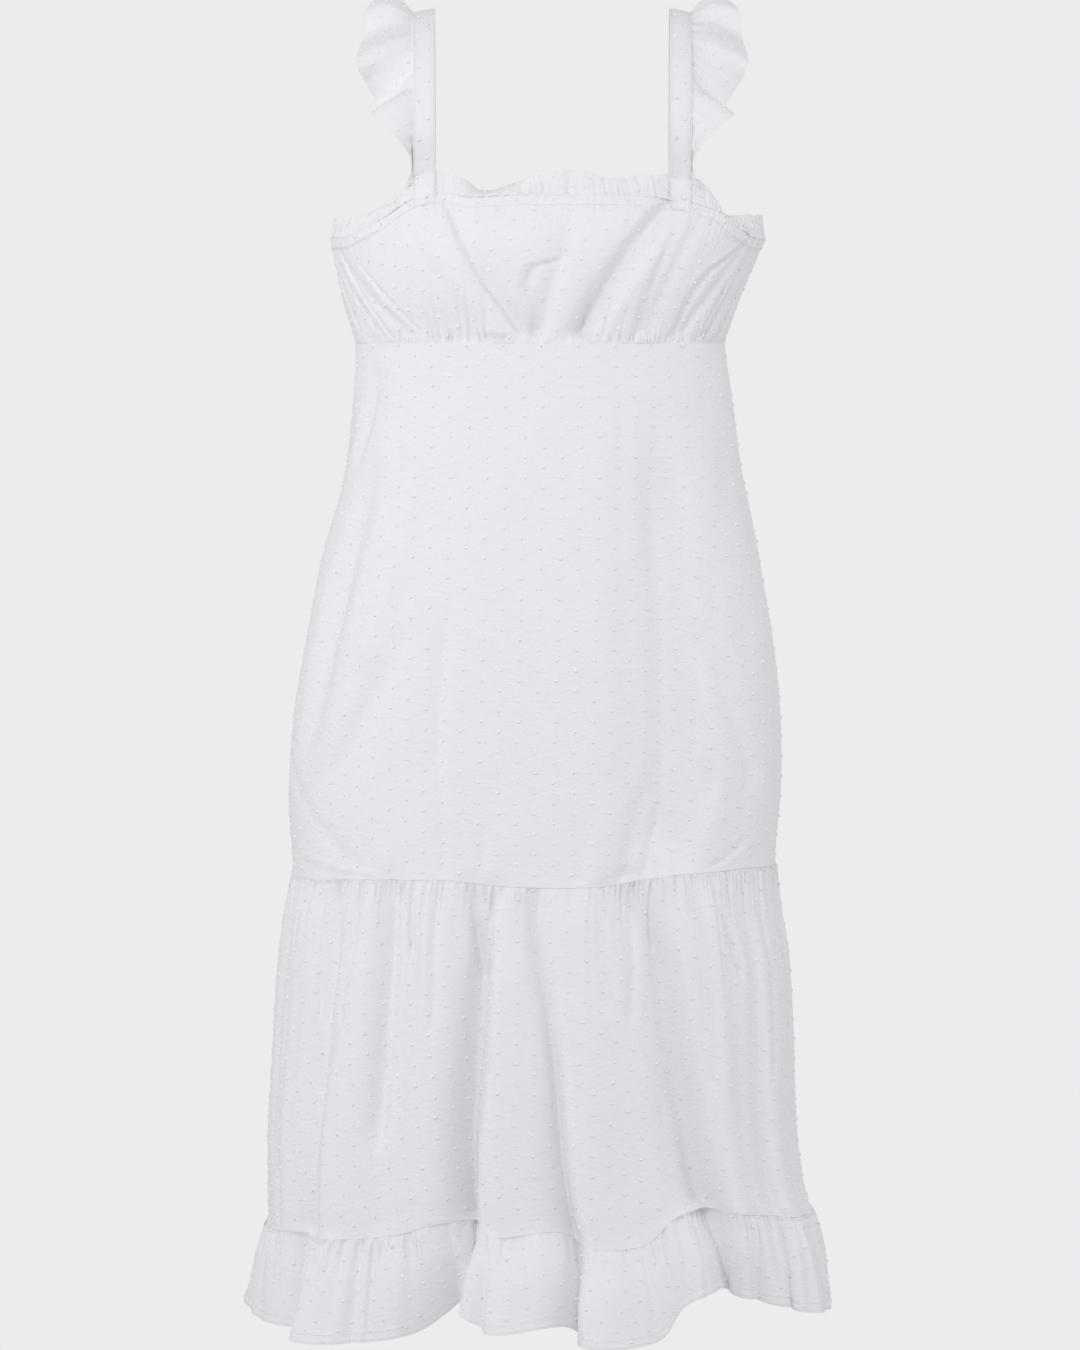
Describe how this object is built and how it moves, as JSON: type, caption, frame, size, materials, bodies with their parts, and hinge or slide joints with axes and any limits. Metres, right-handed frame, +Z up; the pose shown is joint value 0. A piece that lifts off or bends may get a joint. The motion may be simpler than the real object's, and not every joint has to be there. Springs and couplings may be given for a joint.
{
  "type": "midi dress",
  "caption": "White dotted cotton midi dress with frilled shoulder straps, a gathered bodice, a plain skirt, a gathered tier and a frilled hem.",
  "frame": {"origin": "mount shoulders: midway between the two points where the straps rest on the shoulders", "axes": "+Z up, the front faces -Y, +X is to the right of someone looking at the front"},
  "size_m": [0.5417, 0.4912, 1.18],
  "materials": {
    "white_cotton": "matte"
  },
  "bodies": {
    "root": {"bodice_front": "white_cotton", "bodice_back": "white_cotton", "neck_frill_front": "white_cotton", "neck_frill_back": "white_cotton", "skirt_front": "white_cotton", "skirt_back": "white_cotton", "tier_front": "white_cotton", "tier_back": "white_cotton", "hem_frill_front": "white_cotton", "hem_frill_back": "white_cotton", "strap_left": "white_cotton", "strap_right": "white_cotton", "strap_frill_left": "white_cotton", "strap_frill_right": "white_cotton"}
  },
  "joints": []
}
